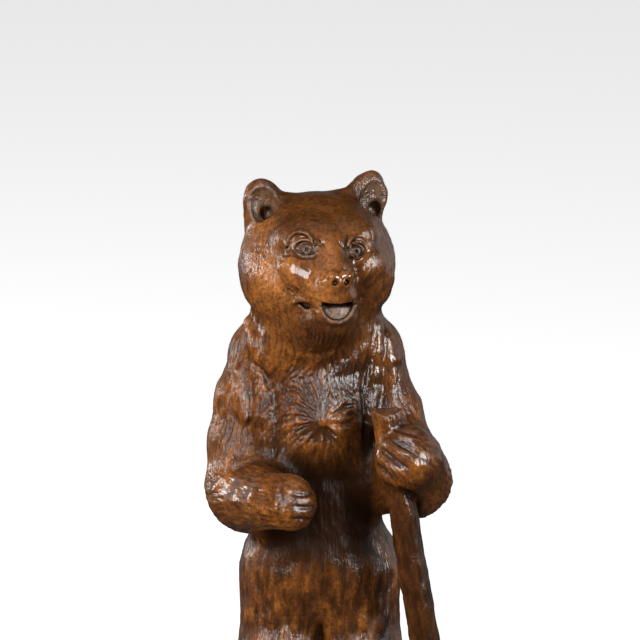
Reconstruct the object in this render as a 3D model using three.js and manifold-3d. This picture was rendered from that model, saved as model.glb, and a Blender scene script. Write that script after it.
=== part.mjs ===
// A bear carved from one block of walnut. It stands upright on a low base, grips a rough staff
// in its left paw and holds its right paw bent across its waist.
// Millimetres, +Z up. The bear faces -Y and its left side is towards +X.
// The origin is the middle of the base's flat underside.
import * as THREE from "three";
import { mergeVertices } from "three/addons/utils/BufferGeometryUtils.js";
import Module from "manifold-3d";

const wasm = await Module();
wasm.setup();

// Driving dimensions
const FIGURE_HEIGHT = 220; // from the top of the base to the ear tips
const BASE_HEIGHT = 11; // from the underside to where the feet stand
const BASE_MARGIN = 9; // base left showing around the feet and the staff
const STAFF_DIAMETER = 11;
const FOOT_SINK = 1.5; // how far the feet and the staff run down into the base

// The figure's pose and proportions are hundredths of its own height.
const HUNDREDTH = FIGURE_HEIGHT / 100;
const share = (value) => value * HUNDREDTH;
const at = (x, y, z) => [share(x), share(y), share(z)];

// Footprint, before the figure is moved over the middle of the base
const FOOT_SPREAD = 7.4; // from the midline to the middle of a foot
const FOOT_HALF = [5.9, 9.2, 4.3];
const FOOT_FORWARD = 4.4;
const STAFF_HEAD = [10.9, -14.2, 63.8];
const STAFF_FOOT = [21.4, -11.5, 0];
const BACK_REACH = 12; // how far the base runs back under the haunches

// How many faces go across the figure and from its front to its back, and the size of the paws' faces
const COLUMNS = 16;
const ROWS = 16;
const PAW_FACE = 1.9;

// The room that the figure takes at a few heights, and how tall its faces are there
const ROOM = [
  { z: -5, x: [-23, 23], y: [-22, 21], tall: 3.8 },
  { z: 35, x: [-23, 23], y: [-22, 21], tall: 3.8 },
  { z: 42, x: [-24, 26], y: [-25, 17], tall: 2.6 },
  { z: 64, x: [-24, 26], y: [-25, 17], tall: 2.6 },
  { z: 75, x: [-16, 16], y: [-18.5, 13], tall: 1.8 },
  { z: 101, x: [-16, 16], y: [-18.5, 13], tall: 1.8 },
];

// Points, distances and blends

const add = (a, b) => [a[0] + b[0], a[1] + b[1], a[2] + b[2]];
const sub = (a, b) => [a[0] - b[0], a[1] - b[1], a[2] - b[2]];
const scale = (a, k) => [a[0] * k, a[1] * k, a[2] * k];
const dot = (a, b) => a[0] * b[0] + a[1] * b[1] + a[2] * b[2];
const mix = (a, b, t) => add(a, scale(sub(b, a), t));
const clamp = (value, low, high) => Math.min(high, Math.max(low, value));
const unit = (a) => scale(a, 1 / Math.hypot(...a));
const cross = (a, b) => [
  a[1] * b[2] - a[2] * b[1],
  a[2] * b[0] - a[0] * b[2],
  a[0] * b[1] - a[1] * b[0],
];

// Signed distance to an ellipsoid, near enough for blending
function ball(p, centre, radii) {
  const q = sub(p, centre);
  const near = Math.hypot(q[0] / radii[0], q[1] / radii[1], q[2] / radii[2]);
  const slope = Math.hypot(q[0] / radii[0] ** 2, q[1] / radii[1] ** 2, q[2] / radii[2] ** 2);
  return slope < 1e-9 ? -Math.min(...radii) : (near * (near - 1)) / slope;
}

// Signed distance to a limb that tapers from one round end to the other
function limb(p, from, to, fromRadius, toRadius) {
  const along = sub(to, from);
  const t = clamp(dot(sub(p, from), along) / dot(along, along), 0, 1);
  return Math.hypot(...sub(p, mix(from, to, t))) - (fromRadius + (toRadius - fromRadius) * t);
}

function blend(a, b, width) {
  const overlap = Math.max(width - Math.abs(a - b), 0) / width;
  return Math.min(a, b) - (overlap * overlap * width) / 4;
}

// The same, with every place and size a share of the figure's height
const mass = (p, centre, radii) => ball(p, at(...centre), at(...radii));
const muscle = (p, from, to, r0, r1) => limb(p, at(...from), at(...to), share(r0), share(r1));
const join = (a, b, width) => blend(a, b, share(width));

// Torso, haunches, legs and arms

const WHORL = [0.3, -11.2, 60.6]; // where the chest fur swirls together

function torso(p) {
  let d = mass(p, [-0.2, -0.6, 60.5], [10.6, 10.7, 11.5]);
  d = join(d, mass(p, [-0.4, 3.6, 65.5], [11.0, 9.2, 11.0]), 4);
  d = join(d, mass(p, [-0.9, -0.6, 72.5], [11.4, 9.4, 8.6]), 3);
  d = join(d, mass(p, [-0.2, 0.8, 45.5], [10.6, 9.6, 13.5]), 4);
  return join(d, mass(p, [0, 1.6, 33.5], [11.6, 10.8, 10.5]), 5);
}

function leg(p, side) {
  let d = muscle(p, [side * 5.7, 1.4, 31], [side * 6.9, -0.8, 16], 8.2, 6.9);
  d = join(d, muscle(p, [side * 6.9, -0.6, 16], [side * FOOT_SPREAD, 0.8, 4.5], 6.9, 5.6), 3);
  d = join(d, mass(p, [side * 5.0, 6.0, 29], [6.6, 6.6, 8.4]), 4);
  const foot = mass(p, [side * FOOT_SPREAD, -FOOT_FORWARD, 1.8], FOOT_HALF);
  return join(d, foot, 3);
}

const RIGHT_ELBOW = [-12.3, -4.6, 46.2];
const RIGHT_WRIST = [-7.8, -15.4, 48.4];
const LEFT_ELBOW = [15.6, -4.8, 48.9];
const FIST = [15.2, -14.2, 55.2];

function rightUpperArm(p) {
  let d = muscle(p, [-4.8, 1.4, 77], [-9.8, 0.8, 69.5], 6.2, 5.6);
  d = join(d, muscle(p, [-9.8, 0.8, 69.5], [-12.6, -0.6, 59.5], 5.6, 5.5), 2);
  return join(d, muscle(p, [-12.6, -0.6, 59.5], [-13.0, -1.8, 48.0], 5.5, 6.1), 2);
}

function leftUpperArm(p) {
  let d = muscle(p, [3.0, 1.4, 77], [8.5, 0.8, 69.5], 6.1, 5.5);
  d = join(d, muscle(p, [8.5, 0.8, 69.5], [12.0, -0.4, 59.5], 5.5, 4.9), 2);
  return join(d, muscle(p, [12.0, -0.4, 59.5], LEFT_ELBOW, 5.0, 5.9), 2);
}

function forearms(p) {
  const right = muscle(p, RIGHT_ELBOW, RIGHT_WRIST, 6.5, 4.9);
  return Math.min(right, muscle(p, LEFT_ELBOW, FIST, 5.9, 5.2));
}

// The wood left between each elbow and the flank
function armpits(p) {
  const right = muscle(p, [-9.2, -0.5, 58], [-8.6, -3.6, 45], 3.6, 5.2);
  return Math.min(right, muscle(p, [9.2, -0.5, 58], [10.0, -2.4, 47.5], 3.4, 4.8));
}

function body(p) {
  let d = join(torso(p), armpits(p), 3);
  d = join(d, Math.min(rightUpperArm(p), leftUpperArm(p)), 1.6);
  d = join(d, forearms(p), 3.6);
  d = join(d, Math.min(leg(p, -1), leg(p, 1)), 3.5);
  return join(d, mass(p, [0, 12.6, 31.5], [2.6, 3.2, 2.6]), 1.5);
}

// The head, in a frame of its own that is turned a little towards the bear's left

const HEAD_CENTRE = [-0.6, -1, 84.5];
const HEAD_TURN = THREE.MathUtils.degToRad(13.5);

// A point of the figure seen from the head's own frame
function inHead(p) {
  const q = sub(p, at(...HEAD_CENTRE));
  const c = Math.cos(HEAD_TURN);
  const s = Math.sin(HEAD_TURN);
  return [c * q[0] + s * q[1], c * q[1] - s * q[0], q[2]];
}

// A point of the head's own frame, in shares, as a point of the figure
function fromHead(x, y, z) {
  const q = at(x, y, z);
  const c = Math.cos(HEAD_TURN);
  const s = Math.sin(HEAD_TURN);
  return add([c * q[0] - s * q[1], c * q[1] + s * q[0], q[2]], at(...HEAD_CENTRE));
}

const EYE = [4.3, -9.6, 5.4];
const NOSE = [0, -16.3, 1.9];

const LEFT_EAR = { centre: [9.3, 1.9, 11.13], half: [3.5, 2.0, 4.5], lean: 0.25 };
const RIGHT_EAR = { centre: [-8.8, 1.9, 11.28], half: [3.5, 2.0, 4.3], lean: -0.2 };

// The slope that runs up the side of the head to an ear
const earRoot = (q, side) => mass(q, [side * 6.9, 2.4, 9.2], [4.9, 2.9, 4.3]);

function skull(q) {
  let d = mass(q, [0.2, 0.6, 2.4], [12.6, 11.2, 10.3]);
  for (const side of [-1, 1]) d = join(d, mass(q, [side * 5.9, -0.8, -1.4], [6.9, 8.7, 7.4]), 3);
  return join(d, mass(q, [-0.4, -2.6, -8.0], [7.8, 7.4, 5.6]), 3);
}

function muzzle(q) {
  let d = muscle(q, [0, -7.5, 4.0], [0, -14.4, 1.4], 4.2, 2.7);
  d = join(d, muscle(q, [0, -7.0, -0.2], [0, -12.6, -0.4], 5.8, 4.0), 2);
  return join(d, mass(q, [0, -8.6, -6.4], [4.9, 5.0, 4.6]), 2);
}

function head(p) {
  const q = inHead(p);
  let d = skull(q);
  for (const side of [-1, 1]) {
    d = join(d, mass(q, [side * 4.7, -7.5, 7.5], [3.4, 2.2, 1.8]), 3.5);
    d = join(d, mass(q, [side * 5.2, -8.7, 2.2], [2.6, 1.6, 1.8]), 2.5);
  }
  d = join(d, muzzle(q), 2.6);
  return join(d, Math.min(earRoot(q, -1), earRoot(q, 1)), 2.4);
}

const figure = (p) => join(body(p), head(p), 2.4);

// The staff, a straight rough branch from the base up through the left paw

const staffFrom = at(...STAFF_FOOT);
const staffTo = at(...STAFF_HEAD);
const staffAlong = unit(sub(staffTo, staffFrom));
const STAFF_RADIUS = STAFF_DIAMETER / 2;

// Paws, each a rounded mass that fingers are cut into, and the room that each takes

const FIST_ROOM = [at(2, -29, 41), at(29, 3, 71)];
const OPEN_PAW_ROOM = [at(-20, -27, 37), at(6, 1, 57)];

function fist(p) {
  const d = muscle(p, mix(LEFT_ELBOW, FIST, 0.55), FIST, 5.3, 4.7);
  return join(d, mass(p, [13.9, -15.6, 56.3], [5.0, 4.6, 6.1]), 2.5);
}

function openPaw(p) {
  const d = muscle(p, mix(RIGHT_ELBOW, RIGHT_WRIST, 0.85), [-6.4, -17.4, 48.8], 4.6, 4.5);
  return join(d, mass(p, [-4.6, -18.4, 48.9], [4.2, 4.0, 4.7]), 1.5);
}

// Solids from distances: one vertex in each cell that the surface crosses

const AXES = [
  [1, 0, 0],
  [0, 1, 0],
  [0, 0, 1],
];

function slopeOf(distance, p, reach) {
  return AXES.map((axis) => {
    const ahead = distance(add(p, scale(axis, reach)));
    return (ahead - distance(sub(p, scale(axis, reach)))) / (2 * reach);
  });
}

// Moves a point onto the surface, no further than the given reach on each axis
function settle(distance, start, reach) {
  let p = start;
  for (let turn = 0; turn < 3; turn++) {
    const slope = slopeOf(distance, p, reach / 20);
    const steep = Math.max(dot(slope, slope), 0.1);
    p = sub(p, scale(slope, distance(p) / steep));
    p = p.map((value, axis) => clamp(value, start[axis] - reach, start[axis] + reach));
  }
  return p;
}

// Fills one corner wherever four corners of a grid face alternate, so that no edge has four faces
function untangle(value, count, place) {
  const faint = 1e-4;
  let changed = true;
  while (changed) {
    changed = false;
    for (let i = 0; i < count[0]; i++)
      for (let j = 0; j < count[1]; j++)
        for (let k = 0; k < count[2]; k++)
          for (const [u, v] of [
            [AXES[0], AXES[1]],
            [AXES[1], AXES[2]],
            [AXES[2], AXES[0]],
          ]) {
            const far = add([i, j, k], add(u, v));
            if (far.some((n, axis) => n >= count[axis])) continue;
            const ids = [[i, j, k], add([i, j, k], u), far, add([i, j, k], v)].map(place);
            const inside = ids.map((id) => value[id] < 0);
            if (inside[0] !== inside[2] || inside[1] !== inside[3] || inside[0] === inside[1])
              continue;
            value[ids[inside[0] ? 1 : 0]] = -faint;
            changed = true;
          }
  }
}

// One closed solid of the points where the distance is below zero, from a grid of points
function solidOf(distance, count, point, step) {
  const place = ([i, j, k]) => (k * count[1] + j) * count[0] + i;
  const value = new Float64Array(count[0] * count[1] * count[2]);
  const eachPoint = (visit) => {
    for (let i = 0; i < count[0]; i++)
      for (let j = 0; j < count[1]; j++) for (let k = 0; k < count[2]; k++) visit([i, j, k]);
  };
  eachPoint((ijk) => {
    const rim = ijk.some((n, axis) => n === 0 || n === count[axis] - 1);
    const d = distance(point(ijk));
    value[place(ijk)] = rim ? Math.max(d, 1e-3) : d;
  });
  untangle(value, count, place);

  const vertexOf = new Map();
  const vertices = [];
  const corners = [0, 1, 2, 3, 4, 5, 6, 7].map((n) => [n & 1, (n >> 1) & 1, n >> 2]);
  const sides = corners.flatMap((corner, a) =>
    corners.flatMap((other, b) =>
      a < b && Math.hypot(...sub(other, corner)) === 1 ? [[a, b]] : [],
    ),
  );
  eachPoint((ijk) => {
    if (ijk.some((n, axis) => n + 1 >= count[axis])) return;
    const found = corners.map((corner) => value[place(add(ijk, corner))]);
    const crossings = sides
      .filter(([a, b]) => found[a] < 0 !== found[b] < 0)
      .map(([a, b]) =>
        mix(
          point(add(ijk, corners[a])),
          point(add(ijk, corners[b])),
          found[a] / (found[a] - found[b]),
        ),
      );
    if (!crossings.length) return;
    const middle = scale(crossings.reduce(add), 1 / crossings.length);
    vertexOf.set(place(ijk), vertices.length);
    vertices.push(settle(distance, middle, step * 0.4));
  });

  const triangles = [];
  const miss = (a, b) => Math.abs(distance(mix(vertices[a], vertices[b], 0.5)));
  eachPoint((ijk) =>
    AXES.forEach((axis, n) => {
      const next = add(ijk, axis);
      if (next.some((m, other) => m >= count[other])) return;
      const starts = value[place(ijk)] < 0;
      if (starts === value[place(next)] < 0) return;
      const u = AXES[(n + 1) % 3];
      const v = AXES[(n + 2) % 3];
      let ring = [sub(sub(ijk, u), v), sub(ijk, v), ijk, sub(ijk, u)].map((cell) =>
        vertexOf.get(place(cell)),
      );
      if (!starts) ring = ring.reverse();
      const [a, b, c, d] = ring;
      if (miss(a, c) <= miss(b, d)) triangles.push(a, b, c, a, c, d);
      else triangles.push(a, b, d, b, c, d);
    }),
  );
  return new wasm.Manifold(
    new wasm.Mesh({
      numProp: 3,
      vertProperties: new Float32Array(vertices.flat()),
      triVerts: new Uint32Array(triangles),
    }),
  );
}

// A solid from an even grid between two corners
function evenSolid(distance, low, high, step) {
  const count = low.map((value, axis) => Math.ceil((high[axis] - value) / step) + 1);
  return solidOf(distance, count, (ijk) => add(low, scale(ijk, step)), step);
}

// The body and head in one, from a grid that narrows towards the head
function figureShape() {
  const roomAt = (z) => {
    const n = clamp(ROOM.findIndex((room) => room.z > z), 1, ROOM.length - 1);
    const [below, above] = [ROOM[n - 1], ROOM[n]];
    const t = clamp((z - below.z) / (above.z - below.z), 0, 1);
    const part = (a, b) => a + (b - a) * t;
    return {
      x: [part(below.x[0], above.x[0]), part(below.x[1], above.x[1])],
      y: [part(below.y[0], above.y[0]), part(below.y[1], above.y[1])],
      tall: part(below.tall, above.tall),
    };
  };
  const levels = [ROOM[0].z];
  while (levels.at(-1) < ROOM.at(-1).z) levels.push(levels.at(-1) + roomAt(levels.at(-1)).tall);
  const rooms = levels.map(roomAt);
  const point = ([i, j, k]) => {
    const { x, y } = rooms[k];
    return at(x[0] + ((x[1] - x[0]) * i) / COLUMNS, y[0] + ((y[1] - y[0]) * j) / ROWS, levels[k]);
  };
  return solidOf(figure, [COLUMNS + 1, ROWS + 1, levels.length], point, share(1.7));
}

// Solids from three.js geometry

function solidFrom(geometry) {
  const bare = geometry.index ? geometry.toNonIndexed() : geometry.clone();
  bare.deleteAttribute("normal");
  bare.deleteAttribute("uv");
  const merged = mergeVertices(bare, 1e-4);
  return new wasm.Manifold(
    new wasm.Mesh({
      numProp: 3,
      vertProperties: merged.attributes.position.array,
      triVerts: new Uint32Array(merged.index.array),
    }),
  );
}

// An ellipsoid whose first radius lies along a direction
function pebble(centre, along, up, radii, around = 10, tall = 7) {
  const x = unit(along);
  const z = unit(sub(up, scale(x, dot(up, x))));
  const y = cross(z, x);
  const matrix = new THREE.Matrix4().makeBasis(
    new THREE.Vector3(...x),
    new THREE.Vector3(...y),
    new THREE.Vector3(...z),
  );
  matrix.setPosition(...centre);
  const shape = new THREE.SphereGeometry(1, around, tall);
  shape.scale(...radii);
  return solidFrom(shape.applyMatrix4(matrix));
}

// The base: a low rounded slab with an uneven outline, flat underneath

const footprint = {
  left: share(-FOOT_SPREAD - FOOT_HALF[0]),
  right: staffFrom[0] + STAFF_RADIUS,
  front: share(-FOOT_FORWARD - FOOT_HALF[1]),
  back: share(BACK_REACH),
};
const baseHalf = [
  (footprint.right - footprint.left) / 2 + BASE_MARGIN,
  (footprint.back - footprint.front) / 2 + BASE_MARGIN,
];
const footprintMiddle = [
  (footprint.left + footprint.right) / 2,
  (footprint.front + footprint.back) / 2,
];

function baseSolid() {
  const sides = 32;
  // How far across and how far up, as parts of the whole, from the middle below to the middle above
  const profile = [
    [0, 0],
    [0.95, 0],
    [1, 0.16],
    [0.985, 0.5],
    [0.93, 0.82],
    [0.84, 0.97],
    [0.6, 1],
    [0, 1],
  ].map(([across, up]) => new THREE.Vector2(across, up * BASE_HEIGHT));
  const slab = new THREE.LatheGeometry(profile, sides).rotateX(Math.PI / 2);
  const position = slab.getAttribute("position");
  for (let i = 0; i < position.count; i++) {
    const [x, y] = [position.getX(i), position.getY(i)];
    const angle = Math.atan2(y, x);
    // Between an ellipse and a rectangle
    const square = Math.hypot(Math.cos(angle) ** 2, Math.sin(angle) ** 2) ** -0.5;
    const uneven = 1 + 0.018 * Math.sin(3 * angle + 0.7) + 0.012 * Math.sin(7 * angle);
    position.setX(i, x * square * uneven * baseHalf[0]);
    position.setY(i, y * square * uneven * baseHalf[1]);
  }
  return solidFrom(slab);
}

// A ridged stick with a shallow dip across its top
function staffSolid() {
  const below = sub(staffFrom, scale(staffAlong, FOOT_SINK));
  const outline = new THREE.Shape();
  const sides = 12;
  for (let i = 0; i < sides; i++) {
    const angle = (i / sides) * 2 * Math.PI;
    const r = STAFF_RADIUS * (1 + 0.07 * Math.sin(4 * angle + 0.5));
    if (i) outline.lineTo(r * Math.cos(angle), r * Math.sin(angle));
    else outline.moveTo(r, 0);
  }
  const path = new THREE.LineCurve3(new THREE.Vector3(...below), new THREE.Vector3(...staffTo));
  const stick = solidFrom(
    new THREE.ExtrudeGeometry(outline, { steps: 1, extrudePath: path, bevelEnabled: false }),
  );
  const dip = [2, 0.27, 0.13].map((n) => n * STAFF_DIAMETER);
  const notch = pebble(staffTo, [0, 1, 0], staffAlong, dip);
  return stick.subtract(notch);
}

// Gouge cuts that lie along the fur

// A closed spindle with pointed ends along a run of points
function spindle(points, radius, sides = 4) {
  const steps = points.length - 1;
  const position = [...points[0]];
  for (let n = 1; n < steps; n++) {
    const along = unit(sub(points[n + 1], points[n - 1]));
    const across = unit(cross(along, Math.abs(along[2]) < 0.9 ? [0, 0, 1] : [1, 0, 0]));
    const over = cross(across, along);
    const r = radius * Math.sin((Math.PI * n) / steps) ** 0.6;
    for (let i = 0; i < sides; i++) {
      const angle = (i / sides) * 2 * Math.PI;
      const ray = add(scale(across, Math.cos(angle)), scale(over, Math.sin(angle)));
      position.push(...add(points[n], scale(ray, r)));
    }
  }
  position.push(...points[steps]);
  const last = position.length / 3 - 1;
  const ring = (n, i) => (n === 0 ? 0 : n === steps ? last : 1 + (n - 1) * sides + (i % sides));
  const index = [];
  for (let n = 0; n < steps; n++)
    for (let i = 0; i < sides; i++) {
      const [a, b, c, d] = [ring(n, i), ring(n, i + 1), ring(n + 1, i + 1), ring(n + 1, i)];
      if (n > 0) index.push(a, c, b);
      if (n < steps - 1) index.push(a, d, c);
    }
  const geometry = new THREE.BufferGeometry();
  geometry.setAttribute("position", new THREE.BufferAttribute(new Float32Array(position), 3));
  geometry.setIndex(index);
  return solidFrom(geometry);
}

// A groove that follows the surface through a few places, cut to a depth
function gouge(distance, places, width, depth, steps = 4) {
  const curve = new THREE.CatmullRomCurve3(places.map((p) => new THREE.Vector3(...p)));
  const points = curve.getSpacedPoints(steps).map((place) => {
    const p = settle(distance, place.toArray(), width * 3);
    return add(p, scale(unit(slopeOf(distance, p, width / 3)), width / 2 - depth));
  });
  return spindle(points, width / 2);
}

// Grooves that run together at the whorl on the chest
function chestFur() {
  const rays = 13;
  const cuts = [];
  for (let i = 0; i < rays; i++) {
    const angle = Math.PI * (-0.12 + (1.3 * i) / (rays - 1));
    const from = i % 2 ? 1.6 : 0.8;
    const to = i % 2 ? 4.8 : 7.6;
    const ray = (reach) =>
      at(
        WHORL[0] + reach * Math.cos(angle + 0.05 * reach),
        WHORL[1] + 0.2 * reach,
        WHORL[2] + reach * Math.sin(angle + 0.05 * reach),
      );
    const run = [from, (from + to) / 2, to].map(ray);
    cuts.push(gouge(figure, run, share(1.0), share(0.4)));
  }
  return cuts;
}

// The deep lines between the arms and the chest, and the fold down the right arm
function foldLines() {
  const lines = [
    { run: [[-10.6, -6, 70.5], [-8.6, -7.5, 62], [-7.6, -8, 53]], width: 1.7, depth: 0.8 },
    { run: [[8.9, -6, 71], [7.9, -7.5, 63], [7.8, -8, 55]], width: 1.7, depth: 0.8 },
    { run: [[-13.4, -5, 66], [-12.6, -6, 61], [-11.8, -6.5, 55]], width: 1.6, depth: 0.6 },
    { run: [[-15.8, -7.5, 52.6], [-13.4, -8.5, 53.2], [-10.6, -9, 53]], width: 1.4, depth: 0.5 },
  ];
  return lines.map(({ run, width, depth }) =>
    gouge(figure, run.map((place) => at(...place)), share(width), share(depth), 5),
  );
}

// Long grooves down the back, in rows that are shifted sideways from each other
function backFur() {
  const cuts = [];
  for (let row = 0; row < 4; row++)
    for (let n = -1; n <= 1; n++) {
      const x = 4.4 * n + (row % 2 ? 1.4 : -1.4);
      const z = 73 - 9.5 * row;
      const run = [at(x, 12, z), at(x * 1.15, 12, z - 5), at(x * 1.25, 12, z - 10)];
      cuts.push(gouge(figure, run, share(1.5), share(0.5), 4));
    }
  return cuts;
}

// The lines between the fingers of the left paw, from the tips over the knuckles
function fistLines() {
  const tips = [61.2, 58.4, 55.2];
  return tips.map((z, i) => {
    const run = [[9.0, -16.5, z], [12.6, -20.5, z - 1.6], [17.2 - 0.4 * i, -18, z - 4.0 + 0.2 * i]];
    return gouge(fist, run.map((place) => at(...place)), share(1.1), share(0.5), 6);
  });
}

// The lines between the fingers of the right paw
function pawLines() {
  return [51.4, 49.2, 47.0].map((z) => {
    const run = [[-5.4, -22.6, z + 0.2], [-2.6, -22, z - 0.3], [-0.6, -18.6, z - 0.9]];
    return gouge(openPaw, run.map((place) => at(...place)), share(0.9), share(0.4));
  });
}

// An upright ear with a hollow in its front
function earSolid({ centre, half, lean }) {
  const shell = pebble(fromHead(...centre), [1, 0, -lean], [lean, 0, 1], half.map(share), 11, 8);
  const inside = fromHead(centre[0] - Math.sign(centre[0]) * 0.1, centre[1] - 2.4, centre[2] - 0.3);
  const hollow = [half[0] * 0.72, 2.6, half[2] * 0.72].map(share);
  return shell.subtract(pebble(inside, [1, 0, -lean], [lean, 0, 1], hollow, 10, 7));
}

// The ears and eyes are added; the eyelids, the nostrils and the mouth are cut
function carveFace(solid) {
  let d = solid.add(earSolid(LEFT_EAR)).add(earSolid(RIGHT_EAR));
  for (const side of [-1, 1]) {
    const lids = fromHead(side * EYE[0], EYE[1] - 0.5, EYE[2]);
    const slant = [1, side * 0.35, -side * 0.12];
    d = d.subtract(pebble(lids, slant, [0, 0, 1], [2.2, 1.4, 1.4].map(share), 10, 7));
    const eye = fromHead(side * EYE[0], EYE[1] + 0.3, EYE[2]);
    d = d.add(pebble(eye, [1, 0, 0], [0, 0, 1], [1.3, 1.3, 1.3].map(share), 8, 6));
  }
  const across = sub(fromHead(1, 0, 0), fromHead(0, 0, 0));
  const bead = (place, radii, around, tall) =>
    pebble(fromHead(...place), across, [0, 0, 1], radii.map(share), around, tall);
  d = d.add(bead([0, -11.9, -5.0], [2.9, 2.9, 1.3], 10, 7)); // lower lip
  d = d.subtract(bead([0, -14.3, -3.3], [2.9, 3.4, 1.3], 10, 7)); // open mouth
  d = d.subtract(bead([0, -12.3, -4.2], [2.1, 1.9, 0.8], 8, 6)); // hollow behind the lower lip
  d = d.add(bead(NOSE, [2.3, 1.6, 1.6], 10, 8));
  for (const side of [-1, 1])
    d = d.subtract(bead([side * 0.95, NOSE[1] - 1.4, NOSE[2] - 0.1], [0.45, 0.8, 0.65], 7, 6));
  for (const side of [-1, 1]) {
    const run = [fromHead(side * 2.4, -15.0, -2.7), fromHead(side * 4, -13, -2.7)];
    run.push(fromHead(side * 5.6, -10.7, -3.0));
    d = d.subtract(gouge(head, run, share(0.8), share(0.45)));
  }
  return d;
}

// The lines between the toes
function toeLines() {
  const cuts = [];
  for (const side of [-1, 1])
    for (const n of [-1, 0, 1]) {
      const x = side * FOOT_SPREAD + 2.3 * n;
      const tip = -FOOT_FORWARD - FOOT_HALF[1];
      const run = [at(x, tip + 3.4, 5.6), at(x, tip + 1, 4), at(x, tip, 0.8)];
      cuts.push(gouge(figure, run, share(1.2), share(0.6), 3));
    }
  return cuts;
}

function figureSolid() {
  const fur = [...chestFur(), ...foldLines(), ...backFur(), ...toeLines()];
  let d = carveFace(figureShape()).subtract(wasm.Manifold.union(fur));
  const rightPaw = evenSolid(openPaw, ...OPEN_PAW_ROOM, share(PAW_FACE));
  d = d.add(rightPaw.subtract(wasm.Manifold.union(pawLines())));
  d = d.add(staffSolid());
  const leftPaw = evenSolid(fist, ...FIST_ROOM, share(PAW_FACE));
  return d.add(leftPaw.subtract(wasm.Manifold.union(fistLines())));
}

// The carving: the figure stands a little into the base, over the middle of it

function carving() {
  const standing = figureSolid().translate([-footprintMiddle[0], -footprintMiddle[1], BASE_HEIGHT]);
  const wide = 2 * FIGURE_HEIGHT;
  const below = new THREE.BoxGeometry(wide, wide, wide);
  below.translate(0, 0, BASE_HEIGHT - FOOT_SINK - wide / 2);
  const pieces = standing.subtract(solidFrom(below)).add(baseSolid()).decompose();
  // The cuts can leave a loose crumb of wood, so only the largest piece is kept
  return pieces.reduce((a, b) => (a.volume() > b.volume() ? a : b));
}

function meshOf(name, solid, material) {
  const { vertProperties, triVerts } = solid.getMesh();
  const geometry = new THREE.BufferGeometry();
  geometry.setAttribute("position", new THREE.BufferAttribute(vertProperties, 3));
  geometry.setIndex(new THREE.BufferAttribute(triVerts, 1));
  geometry.computeVertexNormals();
  const mesh = new THREE.Mesh(geometry, material);
  mesh.name = name;
  return mesh;
}

const walnut = new THREE.MeshStandardMaterial({
  color: new THREE.Color(0.3, 0.13, 0.045),
  roughness: 0.38,
  metalness: 0,
});

const part = new THREE.Group();
part.add(meshOf("bear_carving", carving(), walnut));
export default part;
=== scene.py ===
"""Dresses the carved bear: one fine mesh with its fur cuts, in varnished walnut."""

import math

import bpy
import numpy as np
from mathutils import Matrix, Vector
from mathutils.kdtree import KDTree


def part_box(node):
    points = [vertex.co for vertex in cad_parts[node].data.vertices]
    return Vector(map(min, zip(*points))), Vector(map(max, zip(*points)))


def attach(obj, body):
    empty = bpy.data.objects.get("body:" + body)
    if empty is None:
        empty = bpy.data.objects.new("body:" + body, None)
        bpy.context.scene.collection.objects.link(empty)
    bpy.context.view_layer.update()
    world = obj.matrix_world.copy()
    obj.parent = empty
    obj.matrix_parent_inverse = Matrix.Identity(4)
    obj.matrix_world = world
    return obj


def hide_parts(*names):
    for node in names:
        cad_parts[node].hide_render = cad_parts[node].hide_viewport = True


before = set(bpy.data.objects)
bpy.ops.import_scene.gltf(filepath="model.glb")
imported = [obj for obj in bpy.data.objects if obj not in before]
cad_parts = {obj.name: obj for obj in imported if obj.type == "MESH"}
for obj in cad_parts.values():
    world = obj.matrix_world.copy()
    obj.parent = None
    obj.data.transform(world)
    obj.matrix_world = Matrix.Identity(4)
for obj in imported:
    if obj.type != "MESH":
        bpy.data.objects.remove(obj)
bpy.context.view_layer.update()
scene = bpy.context.scene

NODE = "bear_carving"

# Sizes in metres, and a hundredth of the figure's height above the base
BASE_HEIGHT = 0.011
BASE_MARGIN = 0.009
STAFF_DIAMETER = 0.011
FOOT_SINK = 0.0015

node_low, node_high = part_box(NODE)
HUNDREDTH = (node_high[2] - node_low[2] - BASE_HEIGHT) / 100


def shares(metres):
    return metres / HUNDREDTH


# All further places and sizes are in shares, which are those hundredths, unless a line says
# otherwise. The bear's left is towards x, its back towards y, and its feet stand at z 0.
FOOT_SPREAD = 7.4
FOOT_HALF = (5.9, 9.2, 4.3)
FOOT_FORWARD = 4.4
STAFF_HEAD = np.array([10.9, -14.2, 63.8])
STAFF_FOOT = np.array([21.4, -11.5, 0])
BACK_REACH = 12
STAFF_RADIUS = shares(STAFF_DIAMETER / 2)
BASE_DEEP = shares(BASE_HEIGHT)

# The lattice that the mesh starts from: room at a few heights, and how tall its cells are there
COLUMNS = 76
ROOM_Z = (-6.5, 8, 35, 42, 64, 75, 101.5)
# The lowest and highest x, and the lowest and highest y
ROOM = (
    (-25, -23, -23, -24, -24, -16, -16),
    (30, 29, 27, 26, 26, 16, 16),
    (-21, -21, -22, -25, -25, -18.5, -18.5),
    (18, 18, 18, 17, 17, 13, 13),
)
CELL_TALL = (0.9, 1, 0.95, 0.66, 0.6, 0.45, 0.42)
FRONT_ROWS = 40
BACK_ROWS = 22
FRONT_SHARE = 0.56

# Distances, for arrays of points


def length(v):
    return np.sqrt(np.einsum("ij,ij->i", v, v))


def unit(v):
    return v / np.maximum(length(v), 1e-9)[:, None]


def direction(v):
    """One vector, made 1 long"""
    return np.divide(v, np.linalg.norm(v))


def mass(p, middle, half):
    """An ellipsoid with the given half sizes"""
    q = (p - middle) / half
    near = length(q)
    slope = length(q / half)
    return near * (near - 1) / np.maximum(slope, 1e-6)


def muscle(p, start, end, start_radius, end_radius):
    """A round bar that tapers from its start to its end"""
    along = np.subtract(end, start)
    t = np.clip((p - start) @ along / (along @ along), 0, 1)
    return length(p - start - t[:, None] * along) - (start_radius + (end_radius - start_radius) * t)


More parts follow.
